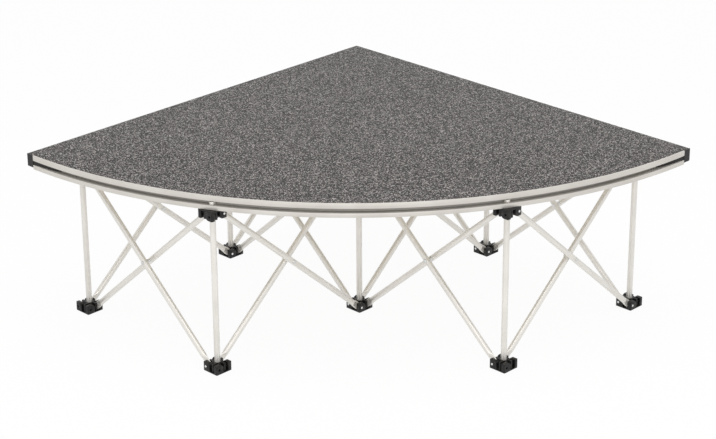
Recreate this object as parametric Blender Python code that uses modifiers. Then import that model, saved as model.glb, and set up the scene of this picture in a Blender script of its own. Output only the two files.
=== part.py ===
"""Quadrant stage deck: a quarter-round carpeted deck on a folding scissor riser.

Metres, +Z up. The floor is z = 0, and the origin lies under the middle of the
deck's square outline. The deck's square corner is at (-R/2, +R/2), and its arc
bulges toward +X and -Y.
"""
import math

import bmesh
import bpy
from mathutils import Matrix, Vector

# Driving dimensions, in metres
GAP = 0.0003
DECK_RADIUS = 1.000
STAGE_HEIGHT = 0.400

# Edge rail section, heights above the deck's underside and depths from its outer face
RAIL_HEIGHT = 0.031
BAND_LOW_TOP = 0.0095
BAND_HIGH_BOTTOM = 0.0195
GROOVE_DEPTH = 0.014
WEB = 0.002
FLANGE_REACH = 0.042
FLANGE_THICK = 0.003
LIP_WIDTH = 0.003
LEDGE_REACH = 0.0045
LEDGE_THICK = 0.003
SHELL = 0.0025
PLY_THICK = 0.0117
CARPET_THICK = 0.0032
CARPET_MARGIN = 0.0006
ARC_STEPS = 24

# Corner caps
CAP_LENGTH = 0.020
CAP_HEIGHT = 0.0275
CAP_SOFTENING = 0.002
TONGUE_LENGTH = 0.075
TONGUE_INSET = 0.001
TONGUE_TIP = 0.0015
TONGUE_ROOT = 0.002
ARC_TONGUE_MIDDLE = 0.007
PAD_SIDE = 0.050

# Riser grid
HUB_INSET = 0.028
RIM_SETBACK = 0.012

# Hubs, pins and posts
HUB_SIDE = 0.042
HUB_HEIGHT = 0.020
HUB_CORNER = 0.0018
HUB_FLOOR = 0.0022
SOCKET_FLOOR = 0.003
LUG_HALF = 0.0022
LUG_SETBACK = 0.003
POCKET_START = 0.0095
EAR_START = 0.0022
EAR_SHOULDER = 0.0075
PIN_OUT = 0.014
PIN_HEIGHT = 0.0105
PIN_RADIUS = 0.0025
PIN_CLEAR = 0.00025
PIN_GRIP = 0.0008
SLOT_OFFSET = 0.0095
SLOT_WIDTH = 0.0052
SLOT_CLEAR = 0.0005
RIVET_HEAD = 0.0034
RIVET_PROUD = 0.0006
POST_RADIUS = 0.00635
POST_WALL = 0.0016
POST_CHAMFER = 0.0015
POST_PLUG = 0.022
POST_CLEAR = 0.00035
SPIGOT_RISE = 0.0152
NOTCH_CLEAR = 0.0005

# Scissor bars
BAR_RADIUS = 0.00635
TAB_THICK = 0.004
TAB_RADIUS = 0.0078
TAB_REACH = 0.013
TAPER = 0.013
MIDDLE_HEAD = 0.0045
MIDDLE_PROUD = 0.0014
SPACER_RADIUS = 0.0042
SECTION_ANGLES = (-70, -35, 0, 35, 70, 110, 145, 180, 215, 250)

# How far cutters run past what they cut, and how deep joined solids sink into each other
OVERRUN = 0.001
SINK = 0.0005

# Derived fits
DECK_BOTTOM = STAGE_HEIGHT - RAIL_HEIGHT
HEAD_TOP = DECK_BOTTOM - GAP
RIM_REACH = DECK_RADIUS - RIM_SETBACK
PITCH = (-6 * HUB_INSET
         + math.sqrt(36 * HUB_INSET ** 2 - 20 * (2 * HUB_INSET ** 2 - RIM_REACH ** 2))) / 10
RISE = (HEAD_TOP - PIN_HEIGHT) - PIN_HEIGHT
SPAN = PITCH - 2 * PIN_OUT
BAR_LENGTH = math.hypot(SPAN, RISE)
BAR_ANGLE = math.atan2(RISE, SPAN)
SPLIT_OFFSET = 2 * SLOT_OFFSET
SECTION_TOP = math.sin(math.radians(max(a for a in SECTION_ANGLES if a < 90)))
BAR_SIDE = BAR_RADIUS * SECTION_TOP
POST_SIDES = 12
PIN_SIDES = 6
RIVET_SIDES = 8
POST_BOTTOM = SOCKET_FLOOR + GAP
POST_TOP = DECK_BOTTOM + SPIGOT_RISE
NOTCH_RADIUS = POST_RADIUS + NOTCH_CLEAR
NOTCH_TOP = SPIGOT_RISE + NOTCH_CLEAR
CARPET_SEAT = RAIL_HEIGHT - CARPET_THICK - GAP
LEDGE_TOP = CARPET_SEAT - PLY_THICK - GAP
SLOT_LOW = SLOT_OFFSET - SLOT_WIDTH / 2
SLOT_HIGH = SLOT_OFFSET + SLOT_WIDTH / 2
WEB_BACK = GROOVE_DEPTH + WEB
RAIL_START = CAP_LENGTH + GAP
CAP_BOTTOM = RAIL_HEIGHT - CAP_HEIGHT
APEX_CORNER = Vector((-DECK_RADIUS / 2, DECK_RADIUS / 2, DECK_BOTTOM))

# Hub names by grid place (steps along the left edge, steps along the right edge)
HUBS = {
    "apex": (0, 0),
    "left_inner": (1, 0),
    "left_outer": (2, 0),
    "right_inner": (0, 1),
    "centre": (1, 1),
    "front_left": (2, 1),
    "right_outer": (0, 2),
    "front_right": (1, 2),
}

# Scissor pairs, each from the hub that it hangs from to the next
PAIRS = [
    ("centre", "front_left"),
    ("centre", "front_right"),
    ("centre", "left_inner"),
    ("centre", "right_inner"),
    ("left_inner", "left_outer"),
    ("left_inner", "apex"),
    ("right_inner", "right_outer"),
    ("front_left", "left_outer"),
    ("front_right", "right_outer"),
    ("right_inner", "apex"),
]


def clear_scene():
    for obj in list(bpy.data.objects):
        bpy.data.objects.remove(obj, do_unlink=True)


def make_material(name, rgb, roughness, metallic):
    mat = bpy.data.materials.new(name)
    mat.use_nodes = True
    shader = mat.node_tree.nodes["Principled BSDF"]
    shader.inputs["Base Color"].default_value = (*rgb, 1.0)
    shader.inputs["Roughness"].default_value = roughness
    shader.inputs["Metallic"].default_value = metallic
    return mat


def pivot(name, location):
    """An empty on a joint's axis, which the pieces that turn there hang from."""
    empty = bpy.data.objects.new(name, None)
    empty.location = location
    model.objects.link(empty)
    return empty


def place(name, mesh, mat, location=(0, 0, 0), rotation=(0, 0, 0), smooth=None, parent=None):
    """Put a finished mesh into the model's collection as one named object."""
    mesh.name = name
    mesh.materials.clear()
    mesh.materials.append(mat)
    if smooth is not None:
        mesh.shade_smooth()
        mesh.set_sharp_from_angle(angle=math.radians(smooth))
    obj = bpy.data.objects.new(name, mesh)
    obj.location = location
    obj.rotation_euler = rotation
    if parent is not None:
        obj.parent = parent
        obj.location = Vector(location) - parent.location
    model.objects.link(obj)
    return obj


def finish_bmesh(bm, name):
    bmesh.ops.recalc_face_normals(bm, faces=bm.faces)
    mesh = bpy.data.meshes.new(name)
    bm.to_mesh(mesh)
    bm.free()
    return mesh


def box(low, high):
    bm = bmesh.new()
    bmesh.ops.create_cube(bm, size=1.0)
    size = Vector(high) - Vector(low)
    bmesh.ops.scale(bm, vec=size, verts=bm.verts)
    bmesh.ops.translate(bm, vec=(Vector(high) + Vector(low)) / 2, verts=bm.verts)
    return finish_bmesh(bm, "box")


def rod(radius, low, high, sides, across="Z"):
    """A cylinder along local Z, or along local Y, with a flat turned to each axis."""
    bm = bmesh.new()
    bmesh.ops.create_cone(bm, cap_ends=True, segments=sides, radius1=radius, radius2=radius,
                          depth=high - low)
    bmesh.ops.rotate(bm, verts=bm.verts, matrix=Matrix.Rotation(math.pi / sides, 3, "Z"))
    bmesh.ops.translate(bm, vec=(0, 0, (low + high) / 2), verts=bm.verts)
    if across == "Y":
        bmesh.ops.rotate(bm, verts=bm.verts, matrix=Matrix.Rotation(math.radians(-90), 3, "X"))
    return finish_bmesh(bm, "rod")


def outline_solid(points, low, high):
    """A flat outline drawn as a 2D curve and thickened from low to high along Z."""
    curve = bpy.data.curves.new("outline", "CURVE")
    curve.dimensions = "2D"
    curve.fill_mode = "BOTH"
    curve.extrude = (high - low) / 2
    spline = curve.splines.new("POLY")
    spline.points.add(len(points) - 1)
    for point, (x, y) in zip(spline.points, points):
        point.co = (x, y, 0, 1)
    spline.use_cyclic_u = True
    obj = bpy.data.objects.new("outline", curve)
    bpy.context.scene.collection.objects.link(obj)
    graph = bpy.context.evaluated_depsgraph_get()
    mesh = bpy.data.meshes.new_from_object(obj.evaluated_get(graph))
    bpy.data.objects.remove(obj, do_unlink=True)
    bm = bmesh.new()
    bm.from_mesh(mesh)
    bmesh.ops.remove_doubles(bm, verts=bm.verts, dist=0.00001)
    bmesh.ops.translate(bm, vec=(0, 0, (low + high) / 2), verts=bm.verts)
    bpy.data.meshes.remove(mesh)
    return finish_bmesh(bm, "outline")


def moved(mesh, matrix):
    copy = mesh.copy()
    copy.transform(matrix)
    if matrix.determinant() < 0:
        copy.flip_normals()
    return copy


def joined(meshes):
    """One mesh that holds several separate bodies, for use as a cutter."""
    bm = bmesh.new()
    for mesh in meshes:
        bm.from_mesh(mesh)
    return finish_bmesh(bm, "joined")


def combine(base, tool, operation):
    """The union or difference of two closed meshes."""
    first = bpy.data.objects.new("first", base)
    second = bpy.data.objects.new("second", tool)
    for obj in (first, second):
        bpy.context.scene.collection.objects.link(obj)
    boolean = first.modifiers.new("boolean", "BOOLEAN")
    boolean.operation = operation
    boolean.solver = "EXACT"
    boolean.object = second
    graph = bpy.context.evaluated_depsgraph_get()
    mesh = bpy.data.meshes.new_from_object(first.evaluated_get(graph))
    for obj in (first, second):
        bpy.data.objects.remove(obj, do_unlink=True)
    bm = bmesh.new()
    bm.from_mesh(mesh)
    bmesh.ops.remove_doubles(bm, verts=bm.verts, dist=0.00001)
    bmesh.ops.dissolve_limit(bm, angle_limit=math.radians(0.5), verts=bm.verts, edges=bm.edges)
    bpy.data.meshes.remove(mesh)
    return finish_bmesh(bm, "combined")


def quarter_turns(mesh):
    return [moved(mesh, Matrix.Rotation(math.radians(90 * k), 4, "Z")) for k in range(4)]


def hub_place(name):
    """World X and Y of a hub's post."""
    i, j = HUBS[name]
    along_left = HUB_INSET + i * PITCH
    along_right = HUB_INSET + j * PITCH
    return Vector((APEX_CORNER.x + along_right, APEX_CORNER.y - along_left, 0))


def hub_block():
    """Square block with softened upright edges."""
    mesh = box((-HUB_SIDE / 2, -HUB_SIDE / 2, 0), (HUB_SIDE / 2, HUB_SIDE / 2, HUB_HEIGHT))
    bm = bmesh.new()
    bm.from_mesh(mesh)
    edges = [e for e in bm.edges if abs(e.verts[0].co.z - e.verts[1].co.z) > HUB_HEIGHT / 2]
    bmesh.ops.bevel(bm, geom=edges, offset=HUB_CORNER, segments=1, profile=0.5,
                    affect="EDGES")
    return finish_bmesh(bm, "hub_block")


def hub_moulding(through):
    """The four-way moulding: each face has a bar slot, a recessed lug and an ear."""
    half = HUB_SIDE / 2
    slot_end = PIN_OUT - TAB_RADIUS - SLOT_CLEAR
    out = half + OVERRUN
    lug_face = half - LUG_SETBACK
    hook = [(slot_end, SLOT_LOW), (slot_end, SLOT_HIGH), (out, SLOT_HIGH), (out, -LUG_HALF),
            (POCKET_START, -LUG_HALF), (POCKET_START, LUG_HALF), (lug_face, LUG_HALF),
            (lug_face, SLOT_LOW)]
    slots = outline_solid(hook, HUB_FLOOR, HUB_HEIGHT + OVERRUN)
    mesh = combine(hub_block(), joined(quarter_turns(slots)), "DIFFERENCE")
    # Rounded inner shoulder of each ear, drawn in the plane of its side face
    centre_x = EAR_START + EAR_SHOULDER
    centre_z = HUB_HEIGHT - EAR_SHOULDER
    arc = [(centre_x - EAR_SHOULDER * math.sin(a), centre_z + EAR_SHOULDER * math.cos(a))
           for a in (0, math.radians(45), math.radians(90))]
    shoulder = [(centre_x, HUB_HEIGHT + OVERRUN)] + arc
    shoulder += [(EAR_START - OVERRUN, centre_z), (EAR_START - OVERRUN, HUB_HEIGHT + OVERRUN)]
    wedge = outline_solid(shoulder, -half - OVERRUN, -SLOT_HIGH + SINK)
    wedge = moved(wedge, Matrix.Rotation(math.radians(90), 4, "X"))
    mesh = combine(mesh, joined(quarter_turns(wedge)), "DIFFERENCE")
    bore_low = -OVERRUN if through else SOCKET_FLOOR
    bore = rod(POST_RADIUS + POST_CLEAR, bore_low, HUB_HEIGHT + OVERRUN, POST_SIDES)
    return combine(mesh, bore, "DIFFERENCE")


def hub_mesh(moulding, used):
    """The moulding with a pin across each used slot and a rivet end on its ear."""
    half = HUB_SIDE / 2
    at_pin = Matrix.Translation((PIN_OUT, 0, PIN_HEIGHT))
    pin = moved(rod(PIN_RADIUS, SLOT_LOW - PIN_GRIP, SLOT_HIGH + PIN_GRIP, PIN_SIDES, "Y"), at_pin)
    head = moved(rod(RIVET_HEAD, half - SINK, half + RIVET_PROUD, RIVET_SIDES, "Y"), at_pin)
    added = []
    for k in sorted(used):
        turn = Matrix.Rotation(math.radians(90 * k), 4, "Z")
        added += [moved(pin, turn), moved(head, turn)]
    return combine(moulding.copy(), joined(added), "UNION")


def used_quarters(name, turned):
    """Quarter turns of the moulding in which a hub holds a bar."""
    here = hub_place(name)
    used = set()
    for pair in PAIRS:
        if name not in pair:
            continue
        other = pair[0] if pair[1] == name else pair[1]
        step = hub_place(other) - here
        quarter = round(math.atan2(step.y, step.x) / math.radians(90)) % 4
        used.add(-quarter % 4 if turned else quarter)
    return used


def hub_pins(name):
    """Places of the foot pin and the head pin on which a hub turns against its first pair."""
    pair = next(p for p in PAIRS if name in (p[1], "centre"))
    here, there = hub_place(pair[0]), hub_place(pair[1])
    ahead = (there - here).normalized()
    left = Vector((-ahead.y, ahead.x, 0))
    if name == "centre":
        foot, head = here + PIN_OUT * ahead + SLOT_OFFSET * left, here + PIN_OUT * ahead
        head -= SLOT_OFFSET * left
    else:
        foot, head = there - PIN_OUT * ahead - SLOT_OFFSET * left, there - PIN_OUT * ahead
        head += SLOT_OFFSET * left
    foot.z = PIN_HEIGHT
    head.z = PIN_HEIGHT + RISE
    return foot, head


def build_hubs(mat):
    """Foot and head hubs, each hung from its pin; gives the head pins for the posts."""
    foot = hub_moulding(through=False)
    head = hub_moulding(through=True)
    turn_over = Matrix.Rotation(math.radians(180), 4, "X")
    head_pivots = {}
    for name in HUBS:
        spot = hub_place(name)
        foot_pin, head_pin = hub_pins(name)
        foot_pivot = pivot("foot_pin_" + name, foot_pin)
        head_pivots[name] = pivot("head_pin_" + name, head_pin)
        place("foot_hub_" + name, hub_mesh(foot, used_quarters(name, False)), mat, spot,
              smooth=30, parent=foot_pivot)
        mesh = moved(hub_mesh(head, used_quarters(name, True)), turn_over)
        place("head_hub_" + name, mesh, mat, (spot.x, spot.y, HEAD_TOP), smooth=30,
              parent=head_pivots[name])
    return head_pivots


def post_mesh():
    """Turned tube, open at the top and closed by a rounded plug at the foot."""
    length = POST_TOP - POST_BOTTOM
    bore = POST_RADIUS - POST_WALL
    points = [(bore, POST_PLUG), (bore, length), (POST_RADIUS, length),
              (POST_RADIUS, POST_CHAMFER), (POST_RADIUS - POST_CHAMFER, 0)]
    bm = bmesh.new()
    verts = [bm.verts.new((x, 0, z)) for x, z in points]
    for a, b in zip(verts, verts[1:]):
        bm.edges.new((a, b))
    mesh = bpy.data.meshes.new("post_profile")
    bm.to_mesh(mesh)
    bm.free()
    obj = bpy.data.objects.new("post_profile", mesh)
    bpy.context.scene.collection.objects.link(obj)
    screw = obj.modifiers.new("turn", "SCREW")
    screw.steps = POST_SIDES
    screw.render_steps = POST_SIDES
    screw.use_merge_vertices = True
    screw.merge_threshold = 0.00001
    graph = bpy.context.evaluated_depsgraph_get()
    turned = bpy.data.meshes.new_from_object(obj.evaluated_get(graph))
    bpy.data.objects.remove(obj, do_unlink=True)
    bm = bmesh.new()
    bm.from_mesh(turned)
    bmesh.ops.holes_fill(bm, edges=[e for e in bm.edges if e.is_boundary], sides=0)
    bmesh.ops.rotate(bm, verts=bm.verts, matrix=Matrix.Rotation(math.pi / POST_SIDES, 3, "Z"))
    bpy.data.meshes.remove(turned)
    return finish_bmesh(bm, "post")


def build_posts(mat, head_pivots):
    shape = post_mesh()
    for name in HUBS:
        spot = hub_place(name)
        place("post_" + name, shape.copy(), mat, (spot.x, spot.y, POST_BOTTOM), smooth=40,
              parent=head_pivots[name])


def bar_section(bm, x, across, through):
    """One ring of the bar: a stadium whose flat faces are square to local Y."""
    top = through / SECTION_TOP
    ring = []
    for a in map(math.radians, SECTION_ANGLES):
        shift = math.copysign(across - top, math.cos(a))
        ring.append(bm.verts.new((x, top * math.sin(a), shift + top * math.cos(a))))
    return ring


def bar_body():
    """A round tube lofted into a flat, round-ended tab at both ends, from pin to pin."""
    end_shape = []
    for a in (math.radians(24), math.radians(75)):
        end_shape.append((-TAB_RADIUS * math.cos(a), TAB_RADIUS * math.sin(a), TAB_THICK / 2))
    end_shape.append((TAB_REACH, TAB_RADIUS, TAB_THICK / 2))
    end_shape.append((TAB_REACH + TAPER, BAR_RADIUS, BAR_SIDE))
    stations = end_shape + [(BAR_LENGTH - x, w, t) for x, w, t in reversed(end_shape)]
    bm = bmesh.new()
    rings = [bar_section(bm, x, w, t) for x, w, t in stations]
    for near, far in zip(rings, rings[1:]):
        for k in range(len(near)):
            n = (k + 1) % len(near)
            bm.faces.new((near[k], near[n], far[n], far[k]))
    bm.faces.new(rings[0])
    bm.faces.new(rings[-1])
    return finish_bmesh(bm, "bar")


def pin_hole(x):
    radius = (PIN_RADIUS + PIN_CLEAR) / math.cos(math.pi / PIN_SIDES)
    hole = rod(radius, -BAR_RADIUS - OVERRUN, BAR_RADIUS + OVERRUN, PIN_SIDES, "Y")
    return moved(hole, Matrix.Translation((x, 0, 0)))


def plain_bar():
    """Bar with end holes and a hole for the middle rivet; its origin is its foot pin."""
    holes = joined([pin_hole(0), pin_hole(BAR_LENGTH / 2), pin_hole(BAR_LENGTH)])
    return combine(bar_body(), holes, "DIFFERENCE")


def riveted_bar():
    """Bar that carries the middle rivet and its spacer; its origin is on the rivet."""
    mesh = combine(bar_body(), joined([pin_hole(0), pin_hole(BAR_LENGTH)]), "DIFFERENCE")
    mesh.transform(Matrix.Translation((-BAR_LENGTH / 2, 0, 0)))
    far = -SPLIT_OFFSET - BAR_SIDE - GAP
    inside = BAR_RADIUS / 2
    spacer = rod(SPACER_RADIUS, -SPLIT_OFFSET + BAR_SIDE + GAP, -inside, RIVET_SIDES, "Y")
    shank = rod(PIN_RADIUS, far - SINK, -inside, PIN_SIDES, "Y")
    near_head = rod(MIDDLE_HEAD, inside, BAR_SIDE + MIDDLE_PROUD, RIVET_SIDES, "Y")
    far_head = rod(MIDDLE_HEAD, far - MIDDLE_PROUD, far, RIVET_SIDES, "Y")
    for solid in (spacer, shank, far_head, near_head):
        mesh = combine(mesh, solid, "UNION")
    return mesh


def build_bars(mat):
    plain = plain_bar()
    riveted = riveted_bar()
    for low_hub, next_hub in PAIRS:
        here, there = hub_place(low_hub), hub_place(next_hub)
        ahead = (there - here).normalized()
        left = Vector((-ahead.y, ahead.x, 0))
        heading = math.atan2(ahead.y, ahead.x)
        foot_pin = here + PIN_OUT * ahead + SLOT_OFFSET * left
        foot_pin.z = PIN_HEIGHT
        place(f"brace_{low_hub}_to_{next_hub}", plain.copy(), mat, foot_pin,
              (0, -BAR_ANGLE, heading), smooth=35)
        middle = (here + there) / 2 - SLOT_OFFSET * left
        middle.z = PIN_HEIGHT + RISE / 2
        place(f"brace_{next_hub}_to_{low_hub}", riveted.copy(), mat, middle,
              (0, -BAR_ANGLE, heading + math.pi), smooth=35)


def plan(along_left, along_right):
    """Plan coordinates from the distances along the left and right straight edges."""
    return (along_right, -along_left)


def polar(radius, angle):
    """Plan point at a radius from the square corner, by angle from the left edge."""
    return plan(radius * math.cos(angle), radius * math.sin(angle))


def arc_angles():
    """The angles of the arc rail's facets, which the deck's other arcs share."""
    start = RAIL_START / DECK_RADIUS
    span = math.radians(90) - 2 * start
    return [start + span * k / ARC_STEPS for k in range(ARC_STEPS + 1)]


def rail_section(lipped):
    """Rail outline as (depth from the outer face, height above the underside)."""
    if lipped:
        top = [(0, RAIL_HEIGHT), (LIP_WIDTH, RAIL_HEIGHT), (LIP_WIDTH, CARPET_SEAT)]
    else:
        top = [(0, CARPET_SEAT)]
    return [
        (0, 0), (0, BAND_LOW_TOP), (GROOVE_DEPTH, BAND_LOW_TOP),
        (GROOVE_DEPTH, BAND_HIGH_BOTTOM), (0, BAND_HIGH_BOTTOM), *top, (WEB_BACK, CARPET_SEAT),
        (WEB_BACK, CARPET_SEAT - SHELL), (LIP_WIDTH, CARPET_SEAT - SHELL),
        (LIP_WIDTH, BAND_HIGH_BOTTOM + SHELL), (WEB_BACK, BAND_HIGH_BOTTOM + SHELL),
        (WEB_BACK, LEDGE_TOP), (WEB_BACK + LEDGE_REACH, LEDGE_TOP),
        (WEB_BACK + LEDGE_REACH, LEDGE_TOP - LEDGE_THICK), (WEB_BACK, LEDGE_TOP - LEDGE_THICK),
        (WEB_BACK, BAND_LOW_TOP - SHELL), (LIP_WIDTH, BAND_LOW_TOP - SHELL),
        (LIP_WIDTH, FLANGE_THICK), (FLANGE_REACH, FLANGE_THICK), (FLANGE_REACH, 0),
    ]


def arc_rail_body():
    """The rail section turned about the square corner."""
    bm = bmesh.new()
    start = arc_angles()[0]
    verts = [bm.verts.new((DECK_RADIUS - q, 0, z)) for q, z in reversed(rail_section(True))]
    for k, vert in enumerate(verts):
        bm.edges.new((vert, verts[(k + 1) % len(verts)]))
    mesh = bpy.data.meshes.new("rail_profile")
    bm.to_mesh(mesh)
    bm.free()
    obj = bpy.data.objects.new("rail_profile", mesh)
    bpy.context.scene.collection.objects.link(obj)
    screw = obj.modifiers.new("sweep", "SCREW")
    screw.angle = math.radians(90) - 2 * start
    screw.steps = ARC_STEPS
    screw.render_steps = ARC_STEPS
    screw.use_merge_vertices = False
    screw.merge_threshold = 0.00001
    graph = bpy.context.evaluated_depsgraph_get()
    turned = bpy.data.meshes.new_from_object(obj.evaluated_get(graph))
    bpy.data.objects.remove(obj, do_unlink=True)
    bm = bmesh.new()
    bm.from_mesh(turned)
    bmesh.ops.holes_fill(bm, edges=[e for e in bm.edges if e.is_boundary], sides=0)
    bmesh.ops.rotate(bm, verts=bm.verts,
                     matrix=Matrix.Rotation(math.radians(-90) + start, 3, "Z"))
    bpy.data.meshes.remove(turned)
    return finish_bmesh(bm, "arc_rail")


def straight_rail_body():
    """The section without a lip, run along the left edge, in plan coordinates."""
    mesh = outline_solid(rail_section(False), RAIL_START, DECK_RADIUS - RAIL_START)
    # Depth goes to plan X, height to Z, and the length away from the square corner
    mesh.transform(Matrix(((1, 0, 0, 0), (0, 0, -1, 0), (0, 1, 0, 0), (0, 0, 0, 1))))
    return mesh


def swap_edges(mesh):
    """Mirror a plan-frame mesh from the left edge to the right edge."""
    return moved(mesh, Matrix(((0, -1, 0, 0), (-1, 0, 0, 0), (0, 0, 1, 0), (0, 0, 0, 1))))


def notch(name):
    """Round-ended notch that frees a post's spigot as the riser folds inward."""
    i, j = HUBS[name]
    step = Vector((*plan(1 - i, 1 - j), 0)).normalized()
    start = hub_place(name) - Vector((APEX_CORNER.x, APEX_CORNER.y, 0))
    heading = math.atan2(step.y, step.x)
    points = []
    for k in range(7):
        a = heading + math.radians(90 + 30 * k)
        points.append((start.x + NOTCH_RADIUS * math.cos(a), start.y + NOTCH_RADIUS * math.sin(a)))
    far = start + (FLANGE_REACH + NOTCH_RADIUS) * step
    for side in (-1, 1):
        a = heading + side * math.radians(90)
        points.append((far.x + NOTCH_RADIUS * math.cos(a), far.y + NOTCH_RADIUS * math.sin(a)))
    return outline_solid(points, -OVERRUN, NOTCH_TOP)


def mitre(points):
    """Cutter through the whole rail over a plan outline."""
    return outline_solid([plan(*p) for p in points], -OVERRUN, RAIL_HEIGHT + OVERRUN)


def build_rails(mat):
    slack = GAP / 2
    r = DECK_RADIUS
    past = CAP_LENGTH / 2
    reach = FLANGE_REACH + CAP_LENGTH
    left = straight_rail_body()
    at_apex = mitre([(slack - past, -past), (slack + reach, reach), (-past, reach), (-past, -past)])
    at_arc = mitre([(r + past - slack, -past), (r - reach - slack, reach), (r + 2 * past, reach),
                    (r + 2 * past, -past)])
    left = combine(left, joined([at_apex, at_arc]), "DIFFERENCE")
    right = swap_edges(left)
    left = combine(left, notch("apex"), "DIFFERENCE")
    right = combine(right, notch("apex"), "DIFFERENCE")
    left = combine(left, joined([notch("left_inner"), notch("left_outer")]), "DIFFERENCE")
    right = combine(right, joined([notch("right_inner"), notch("right_outer")]), "DIFFERENCE")
    place("rail_left", left, mat, APEX_CORNER)
    place("rail_right", right, mat, APEX_CORNER)
    arc = arc_rail_body()
    corner = mitre([(r + past, slack - past), (r - reach, slack + reach),
                    (r - reach, slack - past)])
    arc = combine(arc, joined([corner, swap_edges(corner)]), "DIFFERENCE")
    arc = combine(arc, joined([notch("front_left"), notch("front_right")]), "DIFFERENCE")
    place("rail_arc", arc, mat, APEX_CORNER, smooth=30)


def quadrant(arc_inset, side_inset):
    """Plan outline of a layer, by its insets from the deck's arc and straight edges."""
    radius = DECK_RADIUS - arc_inset
    first = math.asin(side_inset / radius)
    angles = [first] + arc_angles() + [math.radians(90) - first]
    return [plan(side_inset, side_inset)] + [polar(radius, a) for a in angles]


def build_layers(ply, carpet):
    """The board between the rails, and the carpet, which covers the straight rails too."""
    inset = WEB_BACK + GAP
    panel = outline_solid(quadrant(inset, inset), LEDGE_TOP + GAP, CARPET_SEAT)
    place("deck_panel", panel, ply, APEX_CORNER)
    cover = outline_solid(quadrant(LIP_WIDTH + GAP, CARPET_MARGIN), CARPET_SEAT + GAP, RAIL_HEIGHT)
    place("deck_carpet", cover, carpet, APEX_CORNER)


def build_pad(mat):
    spot = hub_place("centre")
    half = PAD_SIDE / 2
    pad = box((-half, -half, 0), (half, half, LEDGE_TOP))
    hole = rod(NOTCH_RADIUS, -OVERRUN, LEDGE_TOP + OVERRUN, POST_SIDES)
    place("support_pad", combine(pad, hole, "DIFFERENCE"), mat, (spot.x, spot.y, DECK_BOTTOM))


def tongue_straight(end):
    """Tapered tongue along the left edge's groove; end is +1 or -1 from its corner."""
    corner = 0 if end > 0 else DECK_RADIUS
    back = GROOVE_DEPTH - GAP
    near = corner + end * (CAP_LENGTH - TONGUE_ROOT)
    far = corner + end * (CAP_LENGTH + TONGUE_LENGTH)
    points = [plan(near, TONGUE_INSET), plan(far, back - TONGUE_TIP), plan(far, back),
              plan(near, back)]
    return outline_solid(points, BAND_LOW_TOP + GAP, BAND_HIGH_BOTTOM - GAP)


def tongue_arc():
    """Tapered tongue along the arc's groove from the left corner."""
    angles = arc_angles()
    near = (CAP_LENGTH - TONGUE_ROOT) / DECK_RADIUS
    far = (CAP_LENGTH + TONGUE_LENGTH) / DECK_RADIUS
    back = DECK_RADIUS - GROOVE_DEPTH + GAP
    outer = [polar(DECK_RADIUS - TONGUE_INSET, near),
             polar(DECK_RADIUS - ARC_TONGUE_MIDDLE, angles[1]), polar(back + TONGUE_TIP, far)]
    inner = [polar(back, far), polar(back, angles[1]), polar(back, angles[0]), polar(back, near)]
    return outline_solid(outer + inner, BAND_LOW_TOP + GAP, BAND_HIGH_BOTTOM - GAP)


def cap_block(arced):
    """L-shaped corner block, up to the top of its rim."""
    c = CAP_LENGTH
    depth = WEB_BACK
    soft = CAP_SOFTENING
    nick = soft * (1 - math.sqrt(0.5))
    if arced:
        r = DECK_RADIUS
        points = [plan(r - c, 0), plan(r - soft, 0), plan(r - nick, nick),
                  polar(r, soft / r), polar(r, c / r), polar(r - depth, c / r),
                  plan(r - depth, depth), plan(r - c, depth)]
    else:
        outer = [(c, 0), (soft, 0), (nick, nick), (0, soft), (0, c)]
        points = [plan(*p) for p in outer + [(depth, c), (depth, depth), (c, depth)]]
    return outline_solid(points, CAP_BOTTOM, RAIL_HEIGHT)


def carpet_corner(arced):
    """The room that the carpet's corner takes: up to the arc's rim, past the straight edges."""
    past = 1.5 * CAP_LENGTH
    if arced:
        r = DECK_RADIUS - LIP_WIDTH
        points = [plan(r - past, -OVERRUN), plan(r, -OVERRUN), polar(r, 0),
                  polar(r, CAP_LENGTH / r), polar(r, past / r), polar(r - past, past / r)]
    else:
        points = [plan(-OVERRUN, -OVERRUN), plan(past, -OVERRUN), plan(past, past),
                  plan(-OVERRUN, past)]
    return outline_solid(points, CARPET_SEAT, RAIL_HEIGHT + OVERRUN)


def corner_cap(arced):
    """Corner block with its carpet recess and the tongue of the left edge's groove."""
    body = combine(cap_block(arced), carpet_corner(arced), "DIFFERENCE")
    return combine(body, tongue_straight(-1 if arced else 1), "UNION")


def build_caps(mat):
    left = combine(corner_cap(True), tongue_arc(), "UNION")
    place("cap_left", left, mat, APEX_CORNER)
    place("cap_right", swap_edges(left), mat, APEX_CORNER)
    apex = combine(corner_cap(False), swap_edges(tongue_straight(1)), "UNION")
    place("cap_apex", apex, mat, APEX_CORNER)


clear_scene()
model = bpy.data.collections.new("quadrant_stage_deck")
bpy.context.scene.collection.children.link(model)
aluminium = make_material("aluminium", (0.69, 0.67, 0.63), 0.38, 1.0)
black_plastic = make_material("black_plastic", (0.012, 0.011, 0.011), 0.45, 0.0)
carpet_grey = make_material("carpet_grey", (0.16, 0.15, 0.145), 0.95, 0.0)
plywood = make_material("plywood", (0.50, 0.36, 0.22), 0.7, 0.0)
head_pins = build_hubs(black_plastic)
build_posts(aluminium, head_pins)
build_bars(aluminium)
build_rails(aluminium)
build_layers(plywood, carpet_grey)
build_pad(black_plastic)
build_caps(black_plastic)
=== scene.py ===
"""Quadrant stage deck: moulded hubs, tube riser, grooved edge rail and carpeted top."""
import math

import bpy
from mathutils import Matrix, Vector


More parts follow.
